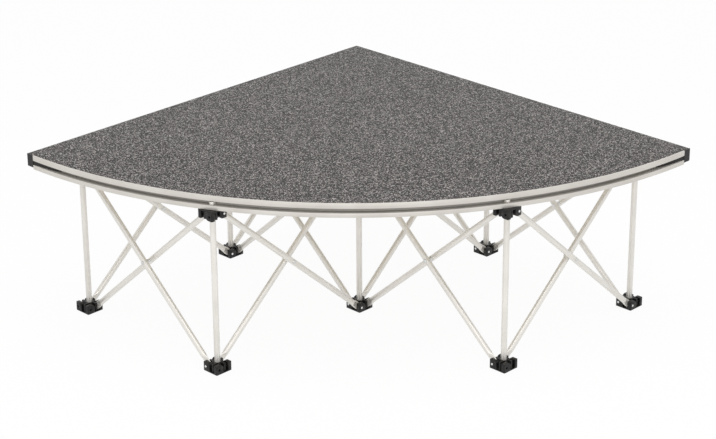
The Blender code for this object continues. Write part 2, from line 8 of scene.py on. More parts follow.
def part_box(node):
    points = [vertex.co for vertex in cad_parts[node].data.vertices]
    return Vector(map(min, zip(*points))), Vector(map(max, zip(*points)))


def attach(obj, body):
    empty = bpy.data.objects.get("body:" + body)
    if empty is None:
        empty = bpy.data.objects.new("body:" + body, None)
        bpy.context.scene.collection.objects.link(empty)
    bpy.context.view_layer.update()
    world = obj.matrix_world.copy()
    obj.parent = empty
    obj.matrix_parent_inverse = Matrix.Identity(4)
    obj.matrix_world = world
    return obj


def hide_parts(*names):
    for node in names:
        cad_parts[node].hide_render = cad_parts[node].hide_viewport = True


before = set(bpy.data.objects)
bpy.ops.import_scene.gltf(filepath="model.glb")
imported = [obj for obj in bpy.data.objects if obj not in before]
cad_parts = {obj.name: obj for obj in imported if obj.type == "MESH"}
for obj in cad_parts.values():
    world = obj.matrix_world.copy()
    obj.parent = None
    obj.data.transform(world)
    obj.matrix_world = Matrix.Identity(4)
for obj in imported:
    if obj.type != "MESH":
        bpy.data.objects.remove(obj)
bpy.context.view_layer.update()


# Foot and head hubs
# Four-way hub of glass-filled black nylon, injection moulded: each face has a slot for a
# bar, a lug set back from the face and an ear that takes the bar's pin. The head hub is
# the same moulding turned over. Ears with no bar show their empty pin hole.
HUB_SIDE = 0.042
HUB_HEIGHT = 0.020
HUB_CORNER = 0.0018
HUB_EDGE = 0.0004
HUB_FLOOR = 0.0022
SOCKET_FLOOR = 0.003
BORE_RADIUS = 0.0067
BORE_SIDES = 40
SLOT_OFFSET = 0.0095
SLOT_WIDTH = 0.0052
SLOT_CLEAR = 0.0005
POCKET_START = 0.0095
LUG_HALF = 0.0022
LUG_SETBACK = 0.003
EAR_START = 0.0022
EAR_SHOULDER = 0.0075
SHOULDER_REACH = 0.03
SHOULDER_SIDES = 48
EAR_HOLE = 0.0027
HOLE_SIDES = 24
PIN_OUT = 0.014
PIN_HEIGHT = 0.0105
TAB_RADIUS = 0.0078
HUB_NYLON = "#131211"
HUB_NYLON_WORN = "#3b3734"
HUB_NYLON_DEEP = "#070707"
NYLON_BLOOM = 0.009
SPARK_TEXTURE = 0.0006
HUBS = ("apex", "left_inner", "left_outer", "right_inner",
        "centre", "front_left", "right_outer", "front_right")
PAIRS = [
    ("centre", "front_left"), ("centre", "front_right"), ("centre", "left_inner"),
    ("centre", "right_inner"), ("left_inner", "left_outer"), ("left_inner", "apex"),
    ("right_inner", "right_outer"), ("front_left", "left_outer"),
    ("front_right", "right_outer"), ("right_inner", "apex"),
]

# How far a cutter runs past a face, how deep one form sinks into the next, and how near
# two points are when they count as one
OVERRUN = 0.001
SINK = 0.0003
MERGE = 0.00001


def linear(code):
    """An sRGB hex colour as the linear one that sockets take."""
    parts = [int(code[i:i + 2], 16) / 255 for i in (1, 3, 5)]
    return [c / 12.92 if c <= 0.04045 else ((c + 0.055) / 1.055) ** 2.4 for c in parts] + [1.0]


def add_node(tree, kind, inputs=None, stops=(), **settings):
    """Add a node: its settings, a ramp's (position, colour) stops, and inputs or links to them."""
    node = tree.nodes.new(kind)
    for key, value in settings.items():
        setattr(node, key, value)
    for number, (position, tint) in enumerate(stops):
        if number == len(node.color_ramp.elements):
            node.color_ramp.elements.new(1.0)
        node.color_ramp.elements[number].position = position
        node.color_ramp.elements[number].color = linear(tint)
    for key, value in (inputs or {}).items():
        socket = node.inputs[key]
        if isinstance(value, bpy.types.NodeSocket):
            tree.links.new(value, socket)
        else:
            socket.default_value = value
    return node


def start_material(name, **sockets):
    """A new material with its Principled shader's uniform values set on the sockets."""
    mat = bpy.data.materials.new(name)
    mat.use_nodes = True
    tree = mat.node_tree
    shader = tree.nodes["Principled BSDF"]
    for key, value in sockets.items():
        shader.inputs[key.replace("_", " ")].default_value = value
    return mat, tree, shader


def only(*objects):
    """Select these objects alone, the first one active."""
    if bpy.context.object and bpy.context.object.mode != "OBJECT":
        bpy.ops.object.mode_set(mode="OBJECT")
    bpy.ops.object.select_all(action="DESELECT")
    for obj in objects:
        obj.select_set(True)
    bpy.context.view_layer.objects.active = objects[0]


def settle():
    """Put the selected object's place, turn and size into its mesh."""
    bpy.ops.object.transform_apply(location=True, rotation=True, scale=True)
    return bpy.context.object


def block(low, high):
    """A box between two corners."""
    middle = (Vector(low) + Vector(high)) / 2
    bpy.ops.object.select_all(action="DESELECT")
    bpy.ops.mesh.primitive_cube_add(size=1, location=middle, scale=Vector(high) - Vector(low))
    return settle()


def round_bar(radius, start, end, sides=32):
    """A round bar between two points."""
    start, end = Vector(start), Vector(end)
    turn = (end - start).to_track_quat("Z", "Y").to_euler()
    bpy.ops.object.select_all(action="DESELECT")
    bpy.ops.mesh.primitive_cylinder_add(vertices=sides, radius=radius, depth=(end - start).length,
                                        location=(start + end) / 2, rotation=turn)
    return settle()


def join(*objects):
    """One object from several."""
    only(*objects)
    if len(objects) > 1:
        bpy.ops.object.join()
    return objects[0]


def duplicate(obj, matrix=Matrix()):
    """A copy with its own mesh, moved by a matrix."""
    copy = obj.copy()
    copy.data = obj.data.copy()
    bpy.context.scene.collection.objects.link(copy)
    copy.data.transform(matrix)
    return copy


def discard(*objects):
    """Remove objects that only served to make others."""
    for obj in objects:
        bpy.data.objects.remove(obj, do_unlink=True)


def carve(obj, tool):
    """Cut a tool out of an object, and remove the tool."""
    only(obj)
    cut = obj.modifiers.new("cut", "BOOLEAN")
    cut.operation = "DIFFERENCE"
    cut.solver = "EXACT"
    cut.object = tool
    bpy.ops.object.modifier_apply(modifier=cut.name)
    discard(tool)
    return obj


def break_edges(obj, width, segments=2, angle=35):
    """Weld loose triangles and round the edges as the tool or mould leaves them, both live."""
    weld = obj.modifiers.new("weld", "WELD")
    weld.merge_threshold = MERGE
    bevel = obj.modifiers.new("bevel", "BEVEL")
    bevel.width = width
    bevel.segments = segments
    bevel.limit_method = "ANGLE"
    bevel.angle_limit = math.radians(angle)


def soften(obj, width, segments=2, angle=35):
    """Break a new piece's edges for good, and shade it by angle."""
    only(obj)
    break_edges(obj, width, segments, angle)
    for step in ("weld", "bevel"):
        bpy.ops.object.modifier_apply(modifier=step)
    bpy.ops.object.shade_smooth_by_angle(angle=math.radians(angle))


def quarter(k):
    """A turn by k quarters about the upright axis."""
    return Matrix.Rotation(math.radians(90 * k), 4, "Z")


def pinwheel(obj):
    """The object and its three copies a quarter turn apart, joined."""
    return join(obj, *[duplicate(obj, quarter(k)) for k in (1, 2, 3)])


def finish_piece(obj, name, material, body, nodes):
    """Name a piece, give it its finish, and hang it on its body in place of its nodes."""
    obj.name = name
    obj.data.name = name
    obj.data.materials.clear()
    obj.data.materials.append(material)
    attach(obj, body)
    if nodes:
        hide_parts(*nodes)


def post_spot(name):
    """X and Y of a hub's post, from the frame."""
    low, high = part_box("post_" + name)
    return Vector(((low[0] + high[0]) / 2, (low[1] + high[1]) / 2, 0))


def bar_quarters(name, turned):
    """The quarter turns of the moulding in which this hub holds a bar."""
    used = set()
    for pair in PAIRS:
        if name in pair:
            other = pair[0] if pair[1] == name else pair[1]
            step = post_spot(other) - post_spot(name)
            turn = round(math.degrees(math.atan2(step.y, step.x)) / 90) % 4
            used.add(-turn % 4 if turned else turn)
    return used


# Glass-filled nylon: near black, dull, with a greyer bloom where it is handled and the
# mould's fine spark texture, drawn coarser than it is.
nylon, tree, shader = start_material("glass_filled_nylon", Roughness=0.42, IOR=1.53,
                                     Specular_IOR_Level=0.3)
place = add_node(tree, "ShaderNodeTexCoord").outputs["Object"]
bloom = add_node(tree, "ShaderNodeTexNoise", {"Vector": place, "Scale": 1 / NYLON_BLOOM,
                                              "Detail": 4.0})
grit = add_node(tree, "ShaderNodeTexNoise", {"Vector": place, "Scale": 1 / SPARK_TEXTURE,
                                             "Detail": 2.0})
tint = add_node(tree, "ShaderNodeValToRGB", {"Fac": bloom.outputs["Fac"]},
                stops=[(0.3, HUB_NYLON_DEEP), (0.55, HUB_NYLON), (0.78, HUB_NYLON_WORN)])
tree.links.new(tint.outputs["Color"], shader.inputs["Base Color"])
bump = add_node(tree, "ShaderNodeBump", {"Height": grit.outputs["Fac"], "Strength": 0.25,
                                         "Distance": 0.0001})
tree.links.new(bump.outputs["Normal"], shader.inputs["Normal"])

half = HUB_SIDE / 2
slot_low = SLOT_OFFSET - SLOT_WIDTH / 2
slot_high = SLOT_OFFSET + SLOT_WIDTH / 2
past = half + OVERRUN
over = HUB_HEIGHT + 3 * OVERRUN
hub_blank = block((-half, -half, 0), (half, half, HUB_HEIGHT))
only(hub_blank)
bpy.ops.object.mode_set(mode="EDIT")
bpy.ops.mesh.select_mode(type="EDGE")
bpy.ops.mesh.select_all(action="DESELECT")
bpy.ops.object.mode_set(mode="OBJECT")
for edge in hub_blank.data.edges:
    a, b = (hub_blank.data.vertices[v].co for v in edge.vertices)
    edge.select = abs(a.z - b.z) > HUB_HEIGHT / 2
bpy.ops.object.mode_set(mode="EDIT")
bpy.ops.mesh.bevel(offset=HUB_CORNER, segments=4, affect="EDGES")
bpy.ops.object.mode_set(mode="OBJECT")

# Cut in turn: the bars' slots, a pocket in the middle of each face, the set-back lugs
# between the two, and the ears' round shoulders
carve(hub_blank, pinwheel(block((PIN_OUT - TAB_RADIUS - SLOT_CLEAR, slot_low, HUB_FLOOR),
                                (past, slot_high, over))))
carve(hub_blank, pinwheel(block((POCKET_START, -LUG_HALF, HUB_FLOOR), (past, LUG_HALF, over))))
carve(hub_blank, pinwheel(block((half - LUG_SETBACK, 0, HUB_FLOOR),
                                (past, slot_low + SINK, over))))
shoulder_x = EAR_START + EAR_SHOULDER
shoulder_z = HUB_HEIGHT - EAR_SHOULDER
shoulder = block((EAR_START - OVERRUN, slot_high - 2 * SINK, shoulder_z), (shoulder_x, past, over))
carve(shoulder, round_bar(EAR_SHOULDER, (shoulder_x, 0, shoulder_z),
                          (shoulder_x, SHOULDER_REACH, shoulder_z), SHOULDER_SIDES))
carve(hub_blank, pinwheel(shoulder))
hub_blanks = {}
for level, bore_low in (("foot", SOCKET_FLOOR), ("head", -OVERRUN)):
    bore = round_bar(BORE_RADIUS, (0, 0, bore_low), (0, 0, over), BORE_SIDES)
    hub_blanks[level] = carve(duplicate(hub_blank), bore)
discard(hub_blank)

turn_over = Matrix.Rotation(math.pi, 4, "X")
hub_matrices = {}
for hub in HUBS:
    for level in ("foot", "head"):
        turned = level == "head"
        low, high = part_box(f"{level}_hub_{hub}")
        spot = post_spot(hub)
        spot.z = high[2] if turned else low[2]
        matrix = Matrix.Translation(spot) @ (turn_over if turned else Matrix())
        hub_matrices[level, hub] = matrix
        moulding = duplicate(hub_blanks[level])
        empty = [k for k in range(4) if k not in bar_quarters(hub, turned)]
        for k in empty:
            tool = round_bar(EAR_HOLE, (PIN_OUT, slot_high - 2 * OVERRUN, PIN_HEIGHT),
                             (PIN_OUT, past, PIN_HEIGHT), HOLE_SIDES)
            tool.data.transform(quarter(k))
            carve(moulding, tool)
        soften(moulding, HUB_EDGE)
        moulding.data.transform(matrix)
        finish_piece(moulding, f"{level}_moulding_{hub}", nylon, f"{level}_{hub}",
                     [f"{level}_hub_{hub}"])
discard(*hub_blanks.values())


# Hub pins
# Bright zinc-plated steel pins, pressed through ear, bar and lug. Only the domed end
# shows on the ear's face, with the shank across the slot behind it.
PIN_RADIUS = 0.0025
PIN_HEAD = 0.0027
PIN_DOME = 0.0006
PIN_EDGE = 0.0004
PIN_GRIP = 0.0008
PIN_SIDES = 24
ZINC_CLOUD = 0.003

# Zinc plate: cool, bright and smooth, with a slight cloudiness.
zinc, tree, shader = start_material("zinc_plated_steel", Metallic=1.0)
place = add_node(tree, "ShaderNodeTexCoord").outputs["Object"]
cloud = add_node(tree, "ShaderNodeTexNoise", {"Vector": place, "Scale": 1 / ZINC_CLOUD,
                                              "Detail": 3.0})
tint = add_node(tree, "ShaderNodeValToRGB", {"Fac": cloud.outputs["Fac"]},
                stops=[(0.3, "#c3c4c4"), (0.7, "#ecebe8")])
tree.links.new(tint.outputs["Color"], shader.inputs["Base Color"])
rough = add_node(tree, "ShaderNodeMapRange", {"Value": cloud.outputs["Fac"], "To Min": 0.22,
                                              "To Max": 0.38})
tree.links.new(rough.outputs["Result"], shader.inputs["Roughness"])

shank = round_bar(PIN_RADIUS, (PIN_OUT, slot_low - PIN_GRIP, PIN_HEIGHT),
                  (PIN_OUT, slot_high + PIN_GRIP, PIN_HEIGHT), PIN_SIDES)
dome = round_bar(PIN_HEAD, (PIN_OUT, half - SINK, PIN_HEIGHT),
                 (PIN_OUT, half + PIN_DOME, PIN_HEIGHT))
soften(dome, PIN_EDGE, segments=3, angle=50)
hub_pin = join(shank, dome)
for (level, hub), matrix in hub_matrices.items():
    quarters = sorted(bar_quarters(hub, level == "head"))
    pins = join(*[duplicate(hub_pin, matrix @ quarter(k)) for k in quarters])
    finish_piece(pins, f"{level}_pins_{hub}", zinc, f"{level}_{hub}", [])
discard(hub_pin)


# Posts
# Round drawn aluminium tube, natural anodised. The foot end is closed by a rounded plug
# that sits in the foot hub's socket; the open top passes the head hub into the deck.
POST_RADIUS = 0.00635
POST_WALL = 0.0016
POST_PLUG = 0.022
POST_EDGE = 0.0007
POST_SIDES = 48
ANODISED_LIGHT = "#efece7"
ANODISED_MID = "#e5e2dc"
ANODISED_SHADE = "#d8d4cd"
TINT_STOPS = (0.3, 0.5, 0.7)
ANODISED_METALLIC = 0.5
ANODISED_CLOUD = 0.06
DIE_LINE = 0.0009
DIE_LINE_LENGTH = 0.12


# Drawn and extruded aluminium, etched and clear anodised: a pale satin with soft highlights.
# Its die lines are drawn coarser than they are.
def anodised(name, run, source="Object", tints=(ANODISED_SHADE, ANODISED_MID, ANODISED_LIGHT)):
    """Natural anodised aluminium, satin, with faint die lines along one axis."""
    mat, tree, shader = start_material(name, Metallic=ANODISED_METALLIC)
    place = add_node(tree, "ShaderNodeTexCoord").outputs[source]
    spacing = [1 / DIE_LINE_LENGTH if axis == run else 1 / DIE_LINE for axis in "XYZ"]
    lined = add_node(tree, "ShaderNodeMapping", {"Vector": place, "Scale": spacing})
    lines = add_node(tree, "ShaderNodeTexNoise", {"Vector": lined.outputs["Vector"], "Scale": 1.0,
                                                  "Detail": 3.0})
    cloud = add_node(tree, "ShaderNodeTexNoise", {"Vector": place, "Scale": 1 / ANODISED_CLOUD,
                                                  "Detail": 3.0})
    both = add_node(tree, "ShaderNodeMath", {0: lines.outputs["Fac"], 1: cloud.outputs["Fac"]},
                    operation="ADD")
    halved = add_node(tree, "ShaderNodeMath", {0: both.outputs[0], 1: 0.5}, operation="MULTIPLY")
    tint = add_node(tree, "ShaderNodeValToRGB", {"Fac": halved.outputs[0]},
                    stops=zip(TINT_STOPS, tints))
    tree.links.new(tint.outputs["Color"], shader.inputs["Base Color"])
    rough = add_node(tree, "ShaderNodeMapRange", {"Value": lines.outputs["Fac"], "To Min": 0.30,
                                                  "To Max": 0.40})
    tree.links.new(rough.outputs["Result"], shader.inputs["Roughness"])
    bump = add_node(tree, "ShaderNodeBump", {"Height": lines.outputs["Fac"], "Strength": 0.08,
                                             "Distance": 0.00005})
    tree.links.new(bump.outputs["Normal"], shader.inputs["Normal"])
    return mat


drawn_upright = anodised("anodised_drawn_tube", "Z")
post_low, post_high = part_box("post_centre")
post_length = post_high[2] - post_low[2]
post_tube = round_bar(POST_RADIUS, (0, 0, 0), (0, 0, post_length), POST_SIDES)
carve(post_tube, round_bar(POST_RADIUS - POST_WALL, (0, 0, POST_PLUG),
                           (0, 0, post_length + OVERRUN), POST_SIDES))
soften(post_tube, POST_EDGE, segments=3, angle=50)
for hub in HUBS:
    tube = duplicate(post_tube, Matrix.Translation(post_spot(hub) + Vector((0, 0, post_low[2]))))
    finish_piece(tube, "post_tube_" + hub, drawn_upright, "head_" + hub, ["post_" + hub])
discard(post_tube)


# Scissor bars
# The same drawn tube, pressed flat at both ends into round-nosed tabs that enter the
# hubs' slots. Two bars cross in separate planes on a rivet through their middles.
BAR_RADIUS = 0.00635
TAB_THICK = 0.004
TAB_REACH = 0.013
TAB_TAPER = 0.013
NOSE_ANGLES = (14, 28, 42, 56, 72, 90)
BAR_SPLIT = 2 * SLOT_OFFSET
BAR_CLEAR = 0.02
STATION_NEAR = 0.0002
RIVET_HEAD = 0.0045
RIVET_PROUD = 0.0014
RIVET_SINK = 0.001
RIVET_EDGE = 0.0008
SPACER_RADIUS = 0.0042

head_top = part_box("head_hub_centre")[1][2]
pin_rise = head_top - 2 * PIN_HEIGHT
pin_span = (post_spot("front_left") - post_spot("centre")).length - 2 * PIN_OUT
bar_length = math.hypot(pin_rise, pin_span)
bar_angle = math.atan2(pin_rise, pin_span)

# Stations along a bar's end, each with its half width and half thickness: the round nose,
# the flat, and the taper to the full tube. The tab is pressed a little thick and cut flat.
pressed = TAB_THICK / 2 + SINK
press = [(-TAB_RADIUS * math.cos(a), TAB_RADIUS * math.sin(a), pressed)
         for a in (math.radians(d) for d in NOSE_ANGLES)]
press.append((TAB_REACH, TAB_RADIUS, pressed))
for share in (0.25, 0.5, 0.75):
    ease = share * share * (3 - 2 * share)
    press.append((TAB_REACH + TAB_TAPER * share,
                  TAB_RADIUS + (BAR_RADIUS - TAB_RADIUS) * ease,
                  pressed + (BAR_RADIUS - pressed) * ease))
press.append((TAB_REACH + TAB_TAPER, BAR_RADIUS, BAR_RADIUS))
first_x = press[0][0]
bar_blank = round_bar(BAR_RADIUS, (first_x, 0, 0), (bar_length - first_x, 0, 0))
only(bar_blank)
bpy.ops.object.mode_set(mode="EDIT")
for x, _, _ in press[1:]:
    for station in (x, bar_length - x):
        bpy.ops.mesh.select_all(action="SELECT")
        bpy.ops.mesh.bisect(plane_co=(station, 0, 0), plane_no=(1, 0, 0))
bpy.ops.mesh.select_mode(type="VERT")
for x, width, thick in press[:-1]:
    for station in (x, bar_length - x):
        bpy.ops.mesh.select_all(action="DESELECT")
        bpy.ops.object.mode_set(mode="OBJECT")
        for vert in bar_blank.data.vertices:
            vert.select = abs(vert.co.x - station) < STATION_NEAR
        bpy.ops.object.mode_set(mode="EDIT")
        bpy.ops.transform.resize(value=(1, thick / BAR_RADIUS, width / BAR_RADIUS),
                                 center_override=(station, 0, 0))
bpy.ops.object.mode_set(mode="OBJECT")
for side in (-1, 1):
    near, far = sorted((side * TAB_THICK / 2, side * BAR_CLEAR / 2))
    for low_x, high_x in ((-BAR_CLEAR, TAB_REACH),
                          (bar_length - TAB_REACH, bar_length + BAR_CLEAR)):
        carve(bar_blank, block((low_x, near, -BAR_CLEAR), (high_x, far, BAR_CLEAR)))
only(bar_blank)
bpy.ops.object.shade_smooth_by_angle(angle=math.radians(40))

# The drawn lines follow the bar wherever it is turned: U runs round it, V along it, in metres.
wrap = bar_blank.data.uv_layers.new(name="drawn")
for loop in bar_blank.data.loops:
    point = bar_blank.data.vertices[loop.vertex_index].co
    wrap.data[loop.index].uv = (BAR_RADIUS * math.atan2(abs(point.z), point.y), point.x)
drawn_bar = anodised("anodised_drawn_bar", "Y", "UV")
far_side = -BAR_SPLIT - BAR_RADIUS
spacer = round_bar(SPACER_RADIUS, (0, RIVET_SINK - BAR_RADIUS, 0), (0, BAR_RADIUS - BAR_SPLIT, 0))
rivet_shank = round_bar(PIN_RADIUS, (0, -BAR_RADIUS, 0), (0, far_side, 0), PIN_SIDES)
near_head = round_bar(RIVET_HEAD, (0, BAR_RADIUS - RIVET_SINK, 0), (0, BAR_RADIUS + RIVET_PROUD, 0))
far_head = round_bar(RIVET_HEAD, (0, far_side + 2 * SINK, 0), (0, far_side - RIVET_PROUD, 0))
for head in (near_head, far_head):
    soften(head, RIVET_EDGE, segments=3, angle=50)
middle_rivet = join(spacer, rivet_shank, near_head, far_head)
middle = Matrix.Translation((bar_length / 2, 0, 0))
for low_hub, far_hub in PAIRS:
    here, there = post_spot(low_hub), post_spot(far_hub)
    ahead = (there - here).normalized()
    left = Vector((-ahead.y, ahead.x, 0))
    heading = math.atan2(ahead.y, ahead.x)
    for start, finish, way, turn in ((low_hub, far_hub, 1, heading),
                                     (far_hub, low_hub, -1, heading + math.pi)):
        pin = post_spot(start) + way * (PIN_OUT * ahead + SLOT_OFFSET * left)
        pin.z = PIN_HEIGHT
        matrix = (Matrix.Translation(pin) @ Matrix.Rotation(turn, 4, "Z")
                  @ Matrix.Rotation(-bar_angle, 4, "Y"))
        piece = duplicate(bar_blank, matrix)
        finish_piece(piece, f"bar_{start}_to_{finish}", drawn_bar, f"bar_{start}_to_{finish}",
                     [f"brace_{start}_to_{finish}"])
    rivet = duplicate(middle_rivet, matrix @ middle)
    finish_piece(rivet, f"middle_rivet_{low_hub}_{far_hub}", zinc, f"bar_{far_hub}_to_{low_hub}",
                 [])
discard(bar_blank, middle_rivet)


# Arc rail
# Extruded aluminium edge section rolled to the arc: a broad upper band with a thin lip
# round the carpet, a deep groove, a narrower lower band, and a flange under the deck.
DECK_RADIUS = 1.0
RAIL_HEIGHT = 0.031
BAND_LOW_TOP = 0.0095
BAND_HIGH_BOTTOM = 0.0195
GROOVE_DEPTH = 0.014
WEB_BACK = 0.016
FLANGE_REACH = 0.042
FLANGE_THICK = 0.003
LIP_WIDTH = 0.003
CARPET_SEAT = 0.0275
LEDGE_TOP = 0.0155
LEDGE_REACH = 0.0205
SHELL = 0.0025
RAIL_START = 0.0203
RAIL_EDGE = 0.0004
ARC_STEPS = 120
NOTCH_RADIUS = 0.00685
NOTCH_REACH = 0.05
NOTCH_TOP = 0.0157
JOINT_SLACK = 0.00015
MITRE_SPARE = 0.018
MITRE_OVER = 0.01
SEED = 0.001
EXTRUSION_TINTS = ("#c6c2bb", "#d3cfc8", "#dedbd5")
# The darker groove colour is painted shade, not a tone of the metal
GROOVE_PAINTED_SHADE = "#9a9691"
RAIL_CLOUD = 0.08
BAND_SKIN = 0.002

deck_low, deck_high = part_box("deck_carpet")
deck_bottom = deck_high[2] - RAIL_HEIGHT
corner = Vector((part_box("rail_left")[0][0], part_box("rail_right")[1][1], deck_bottom))
section = [
    (0, 0), (0, BAND_LOW_TOP), (GROOVE_DEPTH, BAND_LOW_TOP), (GROOVE_DEPTH, BAND_HIGH_BOTTOM),
    (0, BAND_HIGH_BOTTOM), (0, RAIL_HEIGHT), (LIP_WIDTH, RAIL_HEIGHT), (LIP_WIDTH, CARPET_SEAT),
    (WEB_BACK, CARPET_SEAT), (WEB_BACK, CARPET_SEAT - SHELL), (LIP_WIDTH, CARPET_SEAT - SHELL),
    (LIP_WIDTH, BAND_HIGH_BOTTOM + SHELL), (WEB_BACK, BAND_HIGH_BOTTOM + SHELL),
    (WEB_BACK, LEDGE_TOP), (LEDGE_REACH, LEDGE_TOP), (LEDGE_REACH, LEDGE_TOP - FLANGE_THICK),
    (WEB_BACK, LEDGE_TOP - FLANGE_THICK), (WEB_BACK, BAND_LOW_TOP - SHELL),
    (LIP_WIDTH, BAND_LOW_TOP - SHELL), (LIP_WIDTH, FLANGE_THICK), (FLANGE_REACH, FLANGE_THICK),
    (FLANGE_REACH, 0),
]
start_angle = RAIL_START / DECK_RADIUS
outline = [corner + Vector(((DECK_RADIUS - depth) * math.sin(start_angle),
                            -(DECK_RADIUS - depth) * math.cos(start_angle), height))
           for depth, height in section]

# The section is drawn corner by corner from a tiny plane that is merged to a point, filled,
# and spun about the square corner
bpy.ops.object.select_all(action="DESELECT")
bpy.ops.mesh.primitive_plane_add(size=SEED, location=outline[0])
arc_rail = settle()
bpy.ops.object.mode_set(mode="EDIT")
bpy.ops.mesh.select_all(action="SELECT")
bpy.ops.mesh.merge(type="CENTER")
for near, far in zip(outline, outline[1:]):
    bpy.ops.mesh.extrude_region_move(TRANSFORM_OT_translate={"value": far - near})
bpy.ops.mesh.select_all(action="SELECT")
bpy.ops.mesh.edge_face_add()
bpy.ops.mesh.spin(steps=ARC_STEPS, angle=2 * start_angle - math.pi / 2, center=corner,
                  axis=(0, 0, 1))
bpy.ops.mesh.select_all(action="SELECT")
bpy.ops.mesh.remove_doubles(threshold=MERGE)
bpy.ops.mesh.normals_make_consistent(inside=False)
bpy.ops.object.mode_set(mode="OBJECT")


def corner_point(along_left, along_right, height):
    """World place from the distances along the left and right straight edges."""
    return corner + Vector((along_right, -along_left, height))


def mitre_tool(points):
    """An upright cutter through the whole rail over a plan outline."""
    bpy.ops.object.select_all(action="DESELECT")
    bpy.ops.mesh.primitive_plane_add(size=SEED, location=corner_point(*points[0], -OVERRUN))
    tool = settle()
    bpy.ops.object.mode_set(mode="EDIT")
    bpy.ops.mesh.select_all(action="SELECT")
    bpy.ops.mesh.merge(type="CENTER")
    for near, far in zip(points, points[1:]):
        step = corner_point(*far, 0) - corner_point(*near, 0)
        bpy.ops.mesh.extrude_region_move(TRANSFORM_OT_translate={"value": step})
    bpy.ops.mesh.select_all(action="SELECT")
    bpy.ops.mesh.edge_face_add()
    bpy.ops.mesh.extrude_region_move(
        TRANSFORM_OT_translate={"value": (0, 0, RAIL_HEIGHT + 2 * OVERRUN)})
    bpy.ops.mesh.select_all(action="SELECT")
    bpy.ops.mesh.normals_make_consistent(inside=False)
    bpy.ops.object.mode_set(mode="OBJECT")
    return tool


def notch_tools(hub):
    """A round and a straight cutter for the slot that frees a post's top."""
    spot = post_spot(hub)
    inward = (post_spot("centre") - spot).normalized()
    low, high = deck_bottom - OVERRUN, deck_bottom + NOTCH_TOP
    end = round_bar(NOTCH_RADIUS, (spot.x, spot.y, low), (spot.x, spot.y, high), BORE_SIDES)
    slot = block((0, -NOTCH_RADIUS, low), (NOTCH_REACH, NOTCH_RADIUS, high))
    turn = Matrix.Rotation(math.atan2(inward.y, inward.x), 4, "Z")
    slot.data.transform(Matrix.Translation((spot.x, spot.y, 0)) @ turn)
    return end, slot


reach = FLANGE_REACH + MITRE_SPARE
mitre = [(DECK_RADIUS + MITRE_OVER, JOINT_SLACK - MITRE_OVER),
         (DECK_RADIUS - reach, JOINT_SLACK + reach),
         (DECK_RADIUS - reach, JOINT_SLACK - MITRE_OVER)]
carve(arc_rail, mitre_tool(mitre))
carve(arc_rail, mitre_tool([(b, a) for a, b in mitre]))
for hub in ("front_left", "front_right"):
    for tool in notch_tools(hub):
        carve(arc_rail, tool)
soften(arc_rail, RAIL_EDGE, angle=40)

# Extruded and anodised: satin, with shade painted in behind the face: the colour darkens from just
# inside the bands to the groove's floor, and stays dark further in.
# The die lines run round the arc, so the pattern reads the distance from the square corner.
rolled, tree, shader = start_material("anodised_extrusion_rolled", Metallic=ANODISED_METALLIC)
place = add_node(tree, "ShaderNodeTexCoord").outputs["Object"]
centred = add_node(tree, "ShaderNodeMapping", {"Vector": place, "Location": -corner})
split = add_node(tree, "ShaderNodeSeparateXYZ", {"Vector": centred.outputs["Vector"]})
flat = add_node(tree, "ShaderNodeCombineXYZ", {"X": split.outputs["X"], "Y": split.outputs["Y"]})
radius = add_node(tree, "ShaderNodeVectorMath", {0: flat.outputs[0]}, operation="LENGTH")
lines_at = add_node(tree, "ShaderNodeCombineXYZ", {"X": radius.outputs["Value"],
                                                   "Y": split.outputs["Z"]})
lines = add_node(tree, "ShaderNodeTexNoise", {"Vector": lines_at.outputs[0], "Scale": 1 / DIE_LINE,
                                              "Detail": 3.0})
cloud = add_node(tree, "ShaderNodeTexNoise", {"Vector": place, "Scale": 1 / RAIL_CLOUD,
                                              "Detail": 3.0})
both = add_node(tree, "ShaderNodeMath", {0: lines.outputs["Fac"], 1: cloud.outputs["Fac"]},
                operation="ADD")
halved = add_node(tree, "ShaderNodeMath", {0: both.outputs[0], 1: 0.5}, operation="MULTIPLY")
band_tint = add_node(tree, "ShaderNodeValToRGB", {"Fac": halved.outputs[0]},
                     stops=zip(TINT_STOPS, EXTRUSION_TINTS))
# Painted shade: the tint darkens with depth behind the outer face, for the shade in the groove and
# on the faces under the deck
groove_shade_ramp = add_node(tree, "ShaderNodeMapRange", {"Value": radius.outputs["Value"],
                                             "From Min": DECK_RADIUS - GROOVE_DEPTH,
                                             "From Max": DECK_RADIUS - BAND_SKIN})
band_tint_with_painted_shade = add_node(tree, "ShaderNodeMix", {"Factor": groove_shade_ramp.outputs["Result"],
                                              "A": linear(GROOVE_PAINTED_SHADE),
                                              "B": band_tint.outputs["Color"]},
                      data_type="RGBA")
tree.links.new(band_tint_with_painted_shade.outputs["Result"], shader.inputs["Base Color"])
rough = add_node(tree, "ShaderNodeMapRange", {"Value": lines.outputs["Fac"], "To Min": 0.42,
                                              "To Max": 0.54})
tree.links.new(rough.outputs["Result"], shader.inputs["Roughness"])
finish_piece(arc_rail, "arc_edge_rail", rolled, "deck", ["rail_arc"])


# Straight rails
# The same extrusion without its lip, straight, for the two sides that join other decks;
# mitred under the deck. The CAD solids have the true section and only get broken edges.
def refinish(node, material):
    """Give a CAD node its finish."""
    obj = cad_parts[node]
    obj.data.materials.clear()
    obj.data.materials.append(material)


straight_y = anodised("anodised_extrusion_y", "Y", tints=EXTRUSION_TINTS)
straight_x = anodised("anodised_extrusion_x", "X", tints=EXTRUSION_TINTS)
for node, finish_material in (("rail_left", straight_y), ("rail_right", straight_x)):
    break_edges(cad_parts[node], RAIL_EDGE)
    refinish(node, finish_material)


# Corner caps
# Injection-moulded black ABS caps close the three corners of the rail frame. Each has
# two tapered tongues that slide along the grooves, seen as dark wedges at the arc's ends.
CAP_EDGE = 0.0005
ABS_MOTTLE = 0.012
ABS_GRAIN = 0.0005

